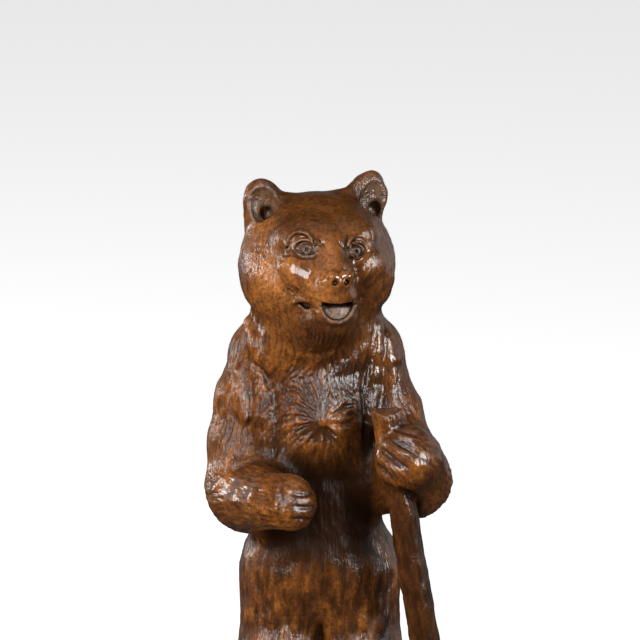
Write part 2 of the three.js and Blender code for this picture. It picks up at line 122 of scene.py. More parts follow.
def join(a, b, width):
    """a and b, rounded over the width where they meet"""
    overlap = np.maximum(width - np.abs(a - b), 0)
    return np.minimum(a, b) - overlap * overlap / (4 * width)


def cut(a, b, width):
    """a without b"""
    return -join(-a, b, width)


def keep(a, b, width):
    """What is in a and in b"""
    return -join(-a, -b, width)


def grow(p, d, forms):
    """d joined with one mass after another: middle, half sizes and width of the join"""
    for middle, half, width in forms:
        d = join(d, mass(p, middle, half), width)
    return d


def mix(a, b, t):
    return np.add(a, np.subtract(b, a) * t)


def step(low, high, value):
    """0 up to low and 1 from high on, smooth between"""
    t = np.clip((value - low) / (high - low), 0, 1)
    return t * t * (3 - 2 * t)


# Torso, legs and arms

WHORL = np.array([0.3, -11.2, 60.6])
RIGHT_ELBOW = (-12.3, -4.6, 46.2)
RIGHT_WRIST = (-7.8, -15.4, 48.4)
LEFT_ELBOW = (15.6, -4.8, 48.9)
FIST = (15.2, -14.2, 55.2)

# Each mass of the trunk and the head: its middle, its half sizes and the width of its join
TORSO = [
    # Back
    ((-0.4, 3.6, 65.5), (11, 9.2, 11), 4),
    # Shoulders
    ((-0.9, -0.6, 72.5), (11.4, 9.4, 8.6), 3),
    # Belly
    ((-0.2, 0.8, 45.5), (10.6, 9.6, 13.5), 4),
    # Right side of the belly
    ((-5, -5.2, 54), (4.4, 4, 6.2), 3),
    # Hips
    ((0, 1.6, 33.5), (11.6, 10.8, 10.5), 5),
]
TAIL = (0, 12.6, 31.5)
TAIL_HALF = (2.6, 3.2, 2.6)


def torso(p):
    chest = mass(p, (-0.2, -0.6, 60.5), (10.6, 10.7, 11.5))
    return grow(p, chest, TORSO)


def leg(p, side):
    """Thigh, shin, haunch and foot"""
    d = muscle(p, (side * 5.7, 1.4, 31), (side * 6.9, -0.8, 16), 8.2, 6.9)
    d = join(d, muscle(p, (side * 6.9, -0.6, 16), (side * FOOT_SPREAD, 0.8, 4.5), 6.9, 5.6), 3)
    d = join(d, mass(p, (side * 5, 6, 29), (6.6, 6.6, 8.4)), 4)
    return join(d, mass(p, (side * FOOT_SPREAD, -FOOT_FORWARD, 1.8), FOOT_HALF), 3)


# Each upper arm: stretches with their start, end and radius at both, the shoulder first
RIGHT_ARM = [
    ((-4.4, 1.4, 76.5), (-9.8, 0.8, 69.5), 5.5, 5.1),
    ((-9.8, 0.8, 69.5), (-12.1, -0.3, 61.8), 5.2, 5.4),
    ((-12.1, -0.3, 61.8), (-13.1, -1.2, 54.5), 5.4, 5.6),
    ((-13.1, -1.2, 54.5), (-13, -1.9, 48), 5.6, 6),
]
LEFT_ARM = [
    ((3, 1.4, 77), (8.5, 0.8, 69.5), 5.7, 5.2),
    ((8.5, 0.8, 69.5), (12, -0.4, 59.5), 5.5, 4.9),
    ((12, -0.4, 59.5), LEFT_ELBOW, 5, 5.9),
]


def limb(p, stretches, width):
    d = muscle(p, *stretches[0])
    for stretch in stretches[1:]:
        d = join(d, muscle(p, *stretch), width)
    return d


def right_upper_arm(p):
    return limb(p, RIGHT_ARM, 2)


def left_upper_arm(p):
    return limb(p, LEFT_ARM, 2)


def right_forearm(p):
    return muscle(p, RIGHT_ELBOW, RIGHT_WRIST, 6.5, 4.9)


def left_forearm(p):
    return muscle(p, LEFT_ELBOW, FIST, 5.9, 5.2)


# Rolls of skin: the middle line, and the radius at its start, middle and end
INNER_ROLL = [(-10.7, -3.9, 71.5), (-9.8, -4.6, 67.5), (-9.1, -5.3, 64), (-8.8, -5.8, 60.5)]
INNER_ROLL += [(-8.7, -6.2, 57), (-8.9, -6.5, 54), (-9.5, -7, 51.5)]
ROLLS = [
    # The inner roll of the right arm
    (INNER_ROLL, (0.7, 2.5, 1.1)),
    # A small ridge on the right arm
    (((-13.6, -4.25, 67.5), (-12.7, -5.25, 63.8), (-12.3, -6.35, 60.2)), (0.6, 0.8, 0.6)),
    # The ruff on the right side of the neck
    (((-11.6, -3, 75.5), (-10.6, -4.7, 72.6), (-9.6, -5.2, 70.2), (-8.4, -6.2, 68.4)), (1.1, 1.6, 0.8)),
    # Two rolls of the left shoulder
    (((9.7, -3.8, 75), (9.4, -4.7, 71), (9.1, -4.8, 67.2), (8.9, -5.2, 63)), (0.8, 1, 0.7)),
    (((11.2, -3.1, 73), (11.8, -3.4, 69.5), (11.9, -3.4, 66), (11.6, -4.3, 61.5)), (1, 1.5, 0.9)),
]
# A distance that leaves a join as it is
FAR = 9.0


def rolls(p):
    total = np.full(len(p), FAR)
    for places, radii in ROLLS:
        sizes = np.interp(np.linspace(0, 1, len(places)), (0, 0.5, 1), radii)
        one = np.full(len(p), FAR)
        for n in range(len(places) - 1):
            one = join(one, muscle(p, places[n], places[n + 1], sizes[n], sizes[n + 1]), 1)
        total = np.minimum(total, one)
    return total


def armpits(p):
    """Wood left standing between each arm and the trunk"""
    right = muscle(p, (-9.2, -0.5, 58), (-8.6, -3.6, 45), 3.6, 5.2)
    right = join(right, muscle(p, (-6.6, -4.2, 59), (-7, -4.6, 49), 3.2, 3.4), 2)
    left = muscle(p, (9.2, -0.5, 58), (10, -2.4, 47.5), 3.4, 4.8)
    left = join(left, muscle(p, (7, -3.6, 60), (7.8, -4.2, 49), 3, 3.4), 2)
    return np.minimum(right, left)


def join_where(near, p, d, shape, width):
    """d joined with a shape that is worked out only for the points that are near it"""
    out = d.copy()
    if near.any():
        out[near] = join(d[near], shape(p[near]), width)
    return out


def body(p):
    z = p[:, 2]
    d = join(torso(p), armpits(p), 3)
    arms = (z > 38) & (z < 86)
    d = join_where(arms, p, d, lambda q: np.minimum(right_upper_arm(q), left_upper_arm(q)), 1.6)
    d = join_where(arms, p, d, lambda q: np.minimum(right_forearm(q), left_forearm(q)), 3.6)
    d = join_where((z > 50) & (z < 78) & (p[:, 1] < 0), p, d, rolls, 1.6)
    d = join_where(z < 46, p, d, lambda q: np.minimum(leg(q, -1), leg(q, 1)), 3.5)
    return join_where(z < 38, p, d, lambda q: mass(q, TAIL, TAIL_HALF), 1.5)


# The head, in a frame of its own that is turned a little towards the bear's left.
# Places in it are marked q.

HEAD_CENTRE = np.array([-0.6, -1, 84.5])
HEAD_TURN = math.radians(13.5)
TURN_COS = math.cos(HEAD_TURN)
TURN_SIN = math.sin(HEAD_TURN)
TO_HEAD = np.array([[TURN_COS, -TURN_SIN, 0], [TURN_SIN, TURN_COS, 0], [0, 0, 1]])


def in_head(p):
    return (p - HEAD_CENTRE) @ TO_HEAD


def from_head(places):
    return places @ TO_HEAD.T + HEAD_CENTRE


# What differs between the right and the left side goes by side: -1 is right, 1 is left
SIDES = (-1, 1)
EYE = {-1: np.array([-4.2, -11.1, 5.85]), 1: np.array([4.2, -10.7, 5])}
NOSE = np.array([0, -16.1, 1.6])
LIP = -2.4
EARS = {
    1: {
        "centre": (9, 1.9, 11.2),
        "half": (3.7, 2, 4.2),
        "lean": 0.25,
        "tip": ((0.5, 0.2, 3.2), 1.3),
        "hollow": ((0.7, -2.3, 0.2), (2.4, 1.8, 3.4)),
        "pit": ((1.5, -1.4, -1.6), (1, 1.6, 1.3)),
    },
    -1: {
        "centre": (-8.6, 1.9, 11.1),
        "half": (3.5, 2, 4.1),
        "lean": -0.2,
        "tip": ((-0.6, 0.2, 2.2), 1.6),
        "hollow": ((-0.3, -2.2, 0.1), (2.5, 1.8, 3.2)),
        "pit": ((0.1, -1.4, -1.7), (1.1, 1.6, 1.3)),
    },
}
JOWLS = [((side * 5.9, -0.8, -1.4), (6.9, 8.7, 7.4), 3) for side in SIDES]
THROAT = ((-0.4, -2.6, -8), (7.8, 7.4, 5.6), 3)
BROWS = [((side * 4.7, -7.5, 7.5), (3.4, 2.2, 1.8), 3.5) for side in SIDES]
CHEEKS = [((-5, -10.2, 2.5), (3.4, 1.9, 2.9), 1.4), ((6.1, -9.2, 2.4), (2.7, 1.3, 1.9), 3)]
EAR_ROOTS = [((side * 7, 2.4, 8.8), (4.8, 2.9, 4.1), 2.2) for side in SIDES]


def skull(q):
    d = mass(q, (0.2, 0.6, 2.4), (12.6, 11.2, 10.3))
    return grow(q, d, JOWLS + [THROAT])


def muzzle(q):
    """Its left side is cut flat, which leaves a ridge down that side of the face"""
    d = muscle(q, (0, -7.5, 4), (0, -13.6, 1.4), 4.2, 2.3)
    d = join(d, muscle(q, (0, -7, -0.2), (0, -12.6, -0.4), 5.8, 4), 2)
    d = keep(d, q @ (0.85, -0.45, 0.35) - 8.6, 0.25)
    return join(d, mass(q, (0, -8.6, -6.4), (4.9, 5, 4.6)), 2)


def carve_ear(d, q, side):
    """A round ear whose hollow runs down into the side of the head"""
    form = EARS[side]
    up = direction((form["lean"], 0, 1))
    across = np.array([up[2], 0, -up[0]])
    own = (q - form["centre"]) @ np.array([across, (0, 1, 0), up]).T
    tip, tip_radius = form["tip"]
    shell = join(mass(own, (0, 0, 0), form["half"]), length(own - tip) - tip_radius, 1.2)
    d = cut(join(d, shell, 0.9), mass(own, *form["hollow"]), 0.3)
    return cut(d, mass(own, *form["pit"]), 0.6)


def eye_frame(q, side):
    """Points seen from an eye: to the bear's left, up, and out of the face"""
    out = direction((side * 0.47, -0.85, 0.26))
    left = direction(np.cross((0, 0, 1), out))
    return (q - EYE[side]) @ np.array([left, np.cross(out, left), out]).T


def arc(e, centre, radii, start, end, thick, lift):
    """A rounded ridge along part of an ellipse in an eye's own frame"""
    u = e[:, 0] - centre[0]
    v = e[:, 1] - centre[1]
    angle = np.arctan2(v / radii[1], u / radii[0])
    middle = math.radians((start + end) / 2)
    half = math.radians((end - start) / 2)
    angle = middle + np.clip((angle - middle + math.pi) % (2 * math.pi) - math.pi, -half, half)
    near = np.stack([radii[0] * np.cos(angle), radii[1] * np.sin(angle)], 1)
    fade = 1 - 0.5 * (np.abs(angle - middle) / half) ** 2
    off = np.sqrt((u - near[:, 0]) ** 2 + (v - near[:, 1]) ** 2 + (e[:, 2] - lift) ** 2)
    return off - thick * fade


# Ridges round each eye: centre, half sizes, first and last degree, thickness, lift and join.
# They are the upper lid, the brow fold and the lower lid.
LOWER_LID = ((0, -0.05), (1.8, 1.1), 195, 345, 0.22, 0.05, 0.25)
LIDS = {
    -1: (
        ((-0.3, 0.1), (1.8, 1.45), 8, 172, 0.28, 0.15, 0.2),
        ((-1.2, 0.3), (2.3, 2.5), 25, 180, 0.5, 0.22, 0.2),
        LOWER_LID,
    ),
    1: (
        ((0.2, 0.1), (1.8, 1.4), 5, 165, 0.28, 0.15, 0.2),
        ((0.5, 0.4), (2.4, 2.1), 0, 160, 0.4, 0.14, 0.3),
        LOWER_LID,
    ),
}
IRIS_RADIUS = 0.7
PUPIL_RADIUS = 0.26


def carve_eye(d, q, side):
    """A domed eye with an iris ring and a drilled pupil, between two lids under a brow fold"""
    e = eye_frame(q, side)
    d = cut(d, mass(e, (0, 0, 1), (2.4, 1.7, 1.4)), 0.5)
    ball = mass(e, (0, 0, -0.8), (1.9, 1.35, 1))
    from_axis = np.hypot(e[:, 0], e[:, 1])
    iris = np.hypot(from_axis - IRIS_RADIUS, e[:, 2] - 0.1) - 0.12
    pupil = np.maximum(from_axis - PUPIL_RADIUS, -e[:, 2] - 0.2)
    d = join(d, cut(join(ball, iris, 0.12), pupil, 0.12), 0.15)
    for *ridge, width in LIDS[side]:
        d = join(d, arc(e, *ridge), width)
    return d


def head(p):
    q = in_head(p)
    d = grow(q, skull(q), BROWS + CHEEKS)
    # The muzzle runs softly into the right cheek and sharply into the left one
    d = join(d, muzzle(q), 3.3 - 2.1 * np.tanh(q[:, 0] / 3))
    return grow(q, d, EAR_ROOTS)


def carve_face(p, d):
    q = in_head(p)
    for side in SIDES:
        near = (q[:, 2] > 5) & (q[:, 0] * side > 3)
        d[near] = carve_ear(d[near], q[near], side)
        near = (q[:, 1] < -5) & (q[:, 0] * side > 0.5) & (q[:, 2] > 1) & (q[:, 2] < 10)
        d[near] = carve_eye(d[near], q[near], side)
    near = (q[:, 1] < -6) & (q[:, 2] < 6) & (q[:, 2] > -10)
    d[near] = carve_muzzle(d[near], q[near])
    return d


def carve_muzzle(d, q):
    """The lips, the tongue behind them, the pits at the mouth's right corner, and the nose"""
    # The jaw, hollowed below the upper lip
    d = join(d, mass(q, (0.1, -12.4, -2.6), (3.7, 3.4, 4.4)), 0.5)
    dish = mass(q, (0.1, -17, -2.5), (3.2, 4, 3.7))
    slot = mass(q, (0.4, -13.6, -2.8), (2.4, 2.2, 0.55))
    d = cut(d, keep(join(dish, slot, 0.2), q[:, 2] - LIP, 0.3), 0.25)
    # The tongue
    d = join(d, mass(q, (0.1, -13.05, -4.75), (3.2, 1.55, 2.2)), 0.3)
    # The rim of the lower lip, half an ellipse
    turn = np.clip(np.arctan2(-2.5 - q[:, 2], q[:, 0] - 0.1), 0.2, math.pi - 0.2)
    rim = np.stack([0.1 + 2.95 * np.cos(turn), np.full(len(q), -14.75), -2.5 - 3.3 * np.sin(turn)], 1)
    d = join(d, length(q - rim) - 0.4, 0.3)
    # The right corner of the mouth, under a fold
    for pit in ((-5, -11.6, -3.1), (-4.5, -12.1, -3.5)):
        d = cut(d, mass(q, pit, (0.65, 1.2, 0.45)), 0.3)
    d = join(d, muscle(q, (-6.3, -10.5, -3.2), (-5.5, -11.1, -2.3), 0.3, 0.4), 0.5)
    d = join(d, muscle(q, (-5.5, -11.1, -2.3), (-4.2, -12.2, -2.6), 0.4, 0.3), 0.5)
    # The nose with its nostrils and the groove between them
    d = join(d, mass(q, NOSE, (2.3, 1.6, 1.6)), 0.9)
    for side in SIDES:
        d = join(d, mass(q, NOSE + (side * 1.15, -0.4, 0.85), (1.15, 1.1, 0.85)), 0.35)
        d = cut(d, mass(q, NOSE + (side * 0.98, -1.4, -0.2), (0.45, 0.9, 0.52)), 0.3)
    return cut(d, mass(q, NOSE + (0, -2, 0.9), (0.16, 0.6, 0.9)), 0.25)


# Paws, staff and base

STAFF_ALONG = direction(STAFF_HEAD - STAFF_FOOT)
STAFF_FRONT = direction(np.cross(STAFF_ALONG, (1, 0, 0)))
STAFF_SIDE = np.cross(STAFF_FRONT, STAFF_ALONG)


def fist(p):
    d = muscle(p, mix(LEFT_ELBOW, FIST, 0.55), FIST, 5.3, 4.7)
    return join(d, mass(p, (13.9, -15.6, 55.8), (5, 4.6, 5.5)), 2.5)


def open_paw(p):
    d = muscle(p, mix(RIGHT_ELBOW, RIGHT_WRIST, 0.85), (-6.4, -17.4, 48.8), 4.6, 4.5)
    return join(d, mass(p, (-4.6, -18.4, 48.9), (4.2, 4, 4.7)), 1.5)


def staff(p):
    """A rough branch, cut level at the top with a dip in the cut"""
    from_foot = p - STAFF_FOOT
    t = from_foot @ STAFF_ALONG
    u = from_foot @ STAFF_SIDE
    v = from_foot @ STAFF_FRONT
    angle = np.arctan2(v, u) + 0.25 * np.sin(t / 9)
    ridges = 0.07 * np.sin(4 * angle + 0.5) + 0.03 * np.sin(9 * angle + t / 6)
    d = np.hypot(u, v) - STAFF_RADIUS * (1 + ridges + 0.03 * np.sin(t / 4.3))
    above = p[:, 2] - STAFF_HEAD[2]
    d = keep(d, above - 0.1, 0.5)
    dip = np.stack([(u + 0.2) / 1.3, v / 5, (above - 0.3) / 0.8], 1)
    return cut(d, (length(dip) - 1) * 0.8, 0.5)


FOOTPRINT_LEFT = -FOOT_SPREAD - FOOT_HALF[0]
FOOTPRINT_RIGHT = STAFF_FOOT[0] + STAFF_RADIUS
FOOTPRINT_FRONT = -FOOT_FORWARD - FOOT_HALF[1]
BASE_MIDDLE = ((FOOTPRINT_LEFT + FOOTPRINT_RIGHT) / 2, (FOOTPRINT_FRONT + BACK_REACH) / 2)
BASE_HALF = (
    (FOOTPRINT_RIGHT - FOOTPRINT_LEFT) / 2 + shares(BASE_MARGIN),
    (BACK_REACH - FOOTPRINT_FRONT) / 2 + shares(BASE_MARGIN),
)


def base(p):
    """A low plate with an uneven, rounded square outline"""
    x = (p[:, 0] - BASE_MIDDLE[0]) / BASE_HALF[0]
    y = (p[:, 1] - BASE_MIDDLE[1]) / BASE_HALF[1]
    angle = np.arctan2(y, x)
    uneven = 1 + 0.018 * np.sin(3 * angle + 0.7) + 0.012 * np.sin(7 * angle)
    wall = ((x**4 + y**4) ** 0.25 / uneven - 1) * min(BASE_HALF)
    d = keep(wall, p[:, 2], 5)
    return keep(d, -p[:, 2] - BASE_DEEP, 1)


def carving(p):
    """Signed distance to the whole carving. Each part is worked out only near where it lies."""
    z = p[:, 2]
    d = body(p)
    d = join_where(z > 66, p, d, head, 2.4)
    top = z > 70
    if top.any():
        d[top] = carve_face(p[top], d[top])
    paws = (z > 36) & (z < 72)
    d = join_where(paws, p, d, open_paw, 0.7)
    near = (p[:, 0] > 5) & (z < 68)
    d = join_where(near, p, d, staff, 0.4)
    d = join_where(paws, p, d, fist, 0.5)
    low = z < 10
    if low.any():
        standing = np.maximum(d[low], -z[low] - shares(FOOT_SINK))
        d[low] = join(standing, base(p[low]), 0.9)
    return d


# A mesh of the points where the distance is zero

FEELERS = np.array([(1, 1, 1), (1, -1, -1), (-1, 1, -1), (-1, -1, 1)], float)
SETTLE_REACH = 0.04
NORMAL_REACH = 0.05


def slope_of(p, reach):
    """How the distance to the carving grows, from four points round each point"""
    total = np.zeros_like(p)
    for feeler in FEELERS:
        total += carving(p + feeler * reach)[:, None] * feeler
    return total / (len(FEELERS) * reach)


def settle(p, reach, turns=2):
    """Moves points onto the surface, no further than the given reach in all"""
    start = p
    for _ in range(turns):
        slope = slope_of(p, SETTLE_REACH)
        steep = np.maximum(np.einsum("ij,ij->i", slope, slope), 0.2)
        p = p - slope * (carving(p) / steep)[:, None]
        p = start + np.clip(p - start, -reach, reach)
    return p


def lattice():
    """Grid points, finer towards the head and the front"""
    levels = [ROOM_Z[0]]
    while levels[-1] < ROOM_Z[-1]:
        levels.append(levels[-1] + np.interp(levels[-1], ROOM_Z, CELL_TALL))
    levels = np.array(levels)
    i = np.linspace(0, 1, COLUMNS + 1)
    front = np.linspace(0, FRONT_SHARE, FRONT_ROWS + 1)[:-1]
    j = np.concatenate([front, np.linspace(FRONT_SHARE, 1, BACK_ROWS + 1)])
    x_low, x_high, y_low, y_high = (np.interp(levels, ROOM_Z, side) for side in ROOM)
    grid = np.empty((len(i), len(j), len(levels), 3))
    grid[..., 0] = x_low + (x_high - x_low) * i[:, None, None]
    grid[..., 1] = y_low + (y_high - y_low) * j[None, :, None]
    grid[..., 2] = levels
    return grid


# Every fourth grid point is tried first, and the rest only where the surface may be this close
SKIP = 4
CLOSE = 7.5


def near_surface(grid):
    """Distances at every grid point, exact only where the surface may be close"""
    coarse = grid[::SKIP, ::SKIP, ::SKIP]
    rough = carving(coarse.reshape(-1, 3)).reshape(coarse.shape[:3])
    for axis in range(3):
        rough = np.repeat(rough, SKIP, axis)
    rough = np.pad(rough, [(0, max(0, n - m)) for n, m in zip(grid.shape, rough.shape)], "edge")
    value = rough[: grid.shape[0], : grid.shape[1], : grid.shape[2]].copy()
    close = np.abs(value) < CLOSE
    value[close] = carving(grid[close])
    return value


CORNERS = [(a, b, c) for a in (0, 1) for b in (0, 1) for c in (0, 1)]


def surface_net(value, grid):
    """One vertex in each cell that the surface crosses, and a quad across each crossed edge"""
    inside = value < 0
    cells = np.array(value.shape) - 1

    def corner(array, offset):
        a, b, c = offset
        return array[a : a + cells[0], b : b + cells[1], c : c + cells[2]]

    count = sum(corner(inside, o).astype(np.int8) for o in CORNERS)
    mixed = (count > 0) & (count < 8)
    total = np.zeros((mixed.sum(), 3))
    hits = np.zeros(mixed.sum())
    for n, one in enumerate(CORNERS):
        for other in CORNERS[n + 1 :]:
            if sum(abs(a - b) for a, b in zip(one, other)) != 1:
                continue
            f, g = corner(value, one)[mixed], corner(value, other)[mixed]
            crossed = (f < 0) != (g < 0)
            t = np.where(crossed, f / np.where(crossed, f - g, 1), 0)[:, None]
            spot = corner(grid, one)[mixed] * (1 - t) + corner(grid, other)[mixed] * t
            total += spot * crossed[:, None]
            hits += crossed
    points = total / hits[:, None]
    index = np.full(cells, -1)
    index[mixed] = np.arange(len(points))

    quads = []
    for axis in range(3):
        u, v = (axis + 1) % 3, (axis + 2) % 3
        low = [slice(1, -1)] * 3
        high = list(low)
        low[axis], high[axis] = slice(0, -1), slice(1, None)
        starts, ends = inside[tuple(low)], inside[tuple(high)]
        crossing = np.argwhere(starts != ends)
        leaving = starts[tuple(crossing.T)]
        place = crossing + (np.arange(3) != axis)

        def cell(du, dv):
            spot = place.copy()
            spot[:, u] -= du
            spot[:, v] -= dv
            return index[tuple(spot.T)]

        quad = np.stack([cell(1, 1), cell(0, 1), cell(0, 0), cell(1, 0)], 1)
        quad[~leaving] = quad[~leaving][:, ::-1]
        quads.append(quad)
    return points, np.concatenate(quads)


def triangles_of(points, quads):
    a, b, c, d = (points[quads[:, n]] for n in range(4))
    first = length(a - c) <= length(b - d)
    one = quads[first]
    two = quads[~first]
    return np.concatenate([one[:, [0, 1, 2]], one[:, [0, 2, 3]], two[:, [0, 1, 3]], two[:, [1, 2, 3]]])


def edges_of(faces):
    """Each edge once, and which three edges every face has"""
    pairs = np.sort(np.concatenate([faces[:, [0, 1]], faces[:, [1, 2]], faces[:, [2, 0]]]), axis=1)
    edges, which = np.unique(pairs, axis=0, return_inverse=True)
    return edges, which.reshape(3, -1).T


def split_long(points, faces, longest):
    """Halves every edge that is longer than it may be there"""
    edges, of_face = edges_of(faces)
    ends = points[edges]
    middle = ends.mean(axis=1)
    long = length(ends[:, 0] - ends[:, 1]) > longest(middle)
    number = np.full(len(edges), -1)
    number[long] = len(points) + np.arange(long.sum())
    halves = number[of_face]
    marks = (halves >= 0).sum(axis=1)
    done = [faces[marks == 0]]
    for marked in (1, 2, 3):
        chosen = marks == marked
        f, h = faces[chosen], halves[chosen]
        # Turned so that the first edge is cut and, where two are cut, the last is whole
        if marked < 3:
            cut_edge = h >= 0
            first = cut_edge.argmax(axis=1) if marked == 1 else cut_edge.argmin(axis=1) + 1
            turn = (np.arange(3) + first[:, None]) % 3
            f, h = np.take_along_axis(f, turn, 1), np.take_along_axis(h, turn, 1)
        (a, b, c), (ab, bc, ca) = f.T, h.T
        if marked == 1:
            parts = [(a, ab, c), (ab, b, c)]
        elif marked == 2:
            parts = [(ab, b, bc), (a, ab, bc), (a, bc, c)]
        else:
            parts = [(a, ab, ca), (ab, b, bc), (ca, bc, c), (ab, bc, ca)]
        done += [np.stack(part, 1) for part in parts]
    return np.concatenate([points, middle[long]]), np.concatenate(done)


def relax(points, faces, amount):
    """Moves each vertex towards the middle of its neighbours"""
    edges, _ = edges_of(faces)
    total = np.zeros_like(points)
    count = np.zeros(len(points))
    for a, b in ((0, 1), (1, 0)):
        for axis in range(3):
            total[:, axis] += np.bincount(edges[:, a], points[edges[:, b], axis], len(points))
        count += np.bincount(edges[:, a], minlength=len(points))
    return points + (total / count[:, None] - points) * amount


def longest_edge(p):
    """How long an edge may be: short on the face, the paws and the chest"""
    y, z = p[:, 1], p[:, 2]
    front = step(5, -5, y)
    limit = np.where(z > 40, 0.43 * front + 1.1 * (1 - front), 1.2)
    limit = np.where(z < -0.5, 1.8, limit)
    limit = np.where(z > 74, 0.42 * front + 0.8 * (1 - front), limit)
    q = in_head(p)
    face = (z > 76) & (q[:, 1] < -8) & (np.abs(q[:, 0]) < 7.5) & (q[:, 2] > -7) & (q[:, 2] < 8.5)
    limit = np.where(face, 0.36, limit)
    for side in SIDES:
        eye = length(q - EYE[side]) < 2.9
        limit = np.where(eye, 0.22, limit)
    whorl = (length(p - WHORL) < 7) & (y < -6)
    limit = np.where(whorl, 0.34, limit)
    nose = length(q - (0, -16, 0.5)) < 3.2
    return np.where(nose, 0.26, limit)


def carving_mesh():
    grid = lattice()
    value = near_surface(grid)
    points, quads = surface_net(value, grid)
    points = settle(points, 0.6)
    faces = triangles_of(points, quads)
    for _ in range(3):
        points, faces = split_long(points, faces, longest_edge)
        points = relax(points, faces, 0.5)
        points = settle(points, 0.5, 1)
    points = settle(points, 0.3, 1)
    return points, faces


points, faces = carving_mesh()
normals = unit(slope_of(points, NORMAL_REACH))

# Folds and cuts of the gouge. Each is a run of points on the surface with a half width and a
# depth. Those that are listed start as a few places near the surface.

RUN_POINTS = 9


def smooth_run(places):
    """Points spaced along a smooth curve through a few places"""
    places = np.asarray(places, float)
    padded = np.concatenate([2 * places[:1] - places[1:2], places, 2 * places[-1:] - places[-2:-1]])
    run = []
    for t in np.linspace(0, len(places) - 1, RUN_POINTS):
        n = min(int(t), len(places) - 2)
        f = t - n
        a, b, c, d = padded[n : n + 4]
        square = 2 * a - 5 * b + 4 * c - d
        cube = 3 * b - a - 3 * c + d
        run.append(0.5 * (2 * b + (c - a) * f + square * f**2 + cube * f**3))
    return np.array(run)


def laid_on(lines):
    """Lines of a few places each, as runs on the surface"""
    return [(settle(smooth_run(places), 3, 4), *sizes) for places, *sizes in lines]


FOLDS = [
    # Between the right arm and the chest
    (((-12, -4.5, 73.3), (-9.7, -5.6, 68.8), (-8.6, -6.4, 66.5), (-7.6, -7.6, 63.8)), 0.9, 0.5),
    (
        ((-8.6, -6.4, 66.5), (-7.5, -7.6, 63.8), (-7, -8.6, 59.9), (-7, -8.4, 55.6), (-8, -8.5, 51.6)),
        0.9,
        0.5,
    ),
    # Down the right arm
    (
        ((-12.2, -5, 66.6), (-11.5, -6, 63), (-11.2, -6.5, 58.9), (-11, -7, 55.5), (-10.7, -8, 53.5)),
        0.9,
        0.15,
    ),
    # Where the right forearm folds against the upper arm
    (((-18.8, -6, 48.5), (-14.2, -9, 52.2), (-9.3, -9, 53)), 1, 0.3),
    # Between the left arm and the chest
    (((9.2, -4.5, 75.6), (8.3, -6, 70.5), (7.5, -7, 65), (7.3, -7.5, 59), (7.2, -6.4, 53)), 0.9, 0.5),
    # The collar of fur under the chin
    (((-9.6, -6.7, 72.7), (-5, -9, 70.1), (0.3, -9.6, 69.4), (5, -8.6, 71.7), (8.7, -5.4, 74.9)), 2, 0.32),
    (((-6.1, -9, 73.4), (-3.3, -10, 72.4), (0, -10.5, 72.2), (3.3, -10, 73.3), (5.3, -9, 74.6)), 0.7, 0.2),
    # From the whorl to the left arm
    (((1.7, -11, 60.3), (4.2, -10.3, 60), (7, -8.8, 61)), 0.8, 0.4),
    (((2.4, -11, 61.5), (4.2, -10.3, 62.6), (5.4, -9.5, 64.4)), 0.7, 0.35),
]
MUZZLE_RIDGE = [(3.5, -11.5, 3.4), (4.3, -11.5, 1.6), (4.8, -11, -0.6), (5.1, -10, -2.8)]
MOUTH_CORNER = [(-4.3, -12.5, -3.7), (-3.5, -13.4, -3.9), (-2.7, -14.3, -3.5)]
FOLDS.append((from_head(MUZZLE_RIDGE), 1, 0.45))
FOLDS.append((from_head(MOUTH_CORNER), 0.45, 0.3))
# Round the fingers that hold the staff
FIST_LINES = [
    (((10.5, -17, 60.3), (13.4, -19.6, 59.2), (16.5, -19.7, 57.2)), 0.5, 0.55),
    (((10.7, -17, 61), (13.6, -19.2, 60), (16.8, -19.4, 58)), 0.4, 0.35),
    (((9.4, -16.9, 58.2), (11.4, -19.6, 56.9), (14.7, -20.2, 54.9)), 0.8, 0.65),
    (((9.1, -16.6, 55.3), (10.3, -18.4, 54.2), (12.3, -19.3, 53)), 0.75, 0.55),
    (((10.8, -16.9, 61.6), (13.4, -17.9, 61.9), (15.6, -18, 61.2), (17.5, -18, 59.4)), 0.45, 0.3),
    (((9.8, -15, 51.6), (12.5, -18, 50.8), (14.8, -16.6, 49.6), (17, -12, 46.5)), 0.7, 0.4),
]
FACE_LINES = [
    # The crease between the muzzle and the right cheek
    ((-6.9, -10.2, 0.6), (-6.2, -11, -0.4), (-5.7, -11.5, -1.7)),
    ((-6.3, -10.8, 0.7), (-5.7, -11.4, -0.3), (-5.3, -11.9, -1.5)),
    ((-7.2, -9.9, -0.4), (-6.6, -10.6, -1.2), (-6.2, -11, -2.2)),
    # Under the right eye
    ((-8.9, -8.8, 5.3), (-7.6, -10, 4.7), (-6.2, -11, 4.5)),
    ((-9, -8.8, 4.2), (-7.9, -9.8, 3.8), (-6.9, -10.6, 3.9)),
    # Frown lines beside both eyes
    ((-3.2, -11.8, 7.9), (-2.4, -12, 7.2), (-1.7, -12.2, 6.1)),
    ((-2.6, -11.8, 8.2), (-1.8, -12, 7.3), (-1.3, -12.3, 6.2)),
    ((1.5, -11.9, 7.6), (1.7, -12.1, 6.7), (2.3, -12.2, 5.6)),
]
# Short strokes side by side under the lower lip
for x in np.arange(-3.6, 1.6, 0.62):
    FACE_LINES.append(((x, -11.5, -6.9), (x - 0.1, -11, -8.2), (x - 0.3, -10.2, -9.6)))
FACE_LINES = [(from_head(places), 0.3, 0.3) for places in FACE_LINES]
# Between the fingers of the right paw, and across them
PAW_LINES = [
    (((-5.2, -22.6, z + 0.3), (-2.6, -22, z - 0.2), (-0.6, -18.6, z - 0.9)), 0.55, 0.45)
    for z in (51.6, 49.4, 47.2)
]
PAW_LINES.append((((-6.6, -19.5, 53.4), (-6.2, -21.8, 50.4), (-6.9, -21, 46.6)), 0.6, 0.3))


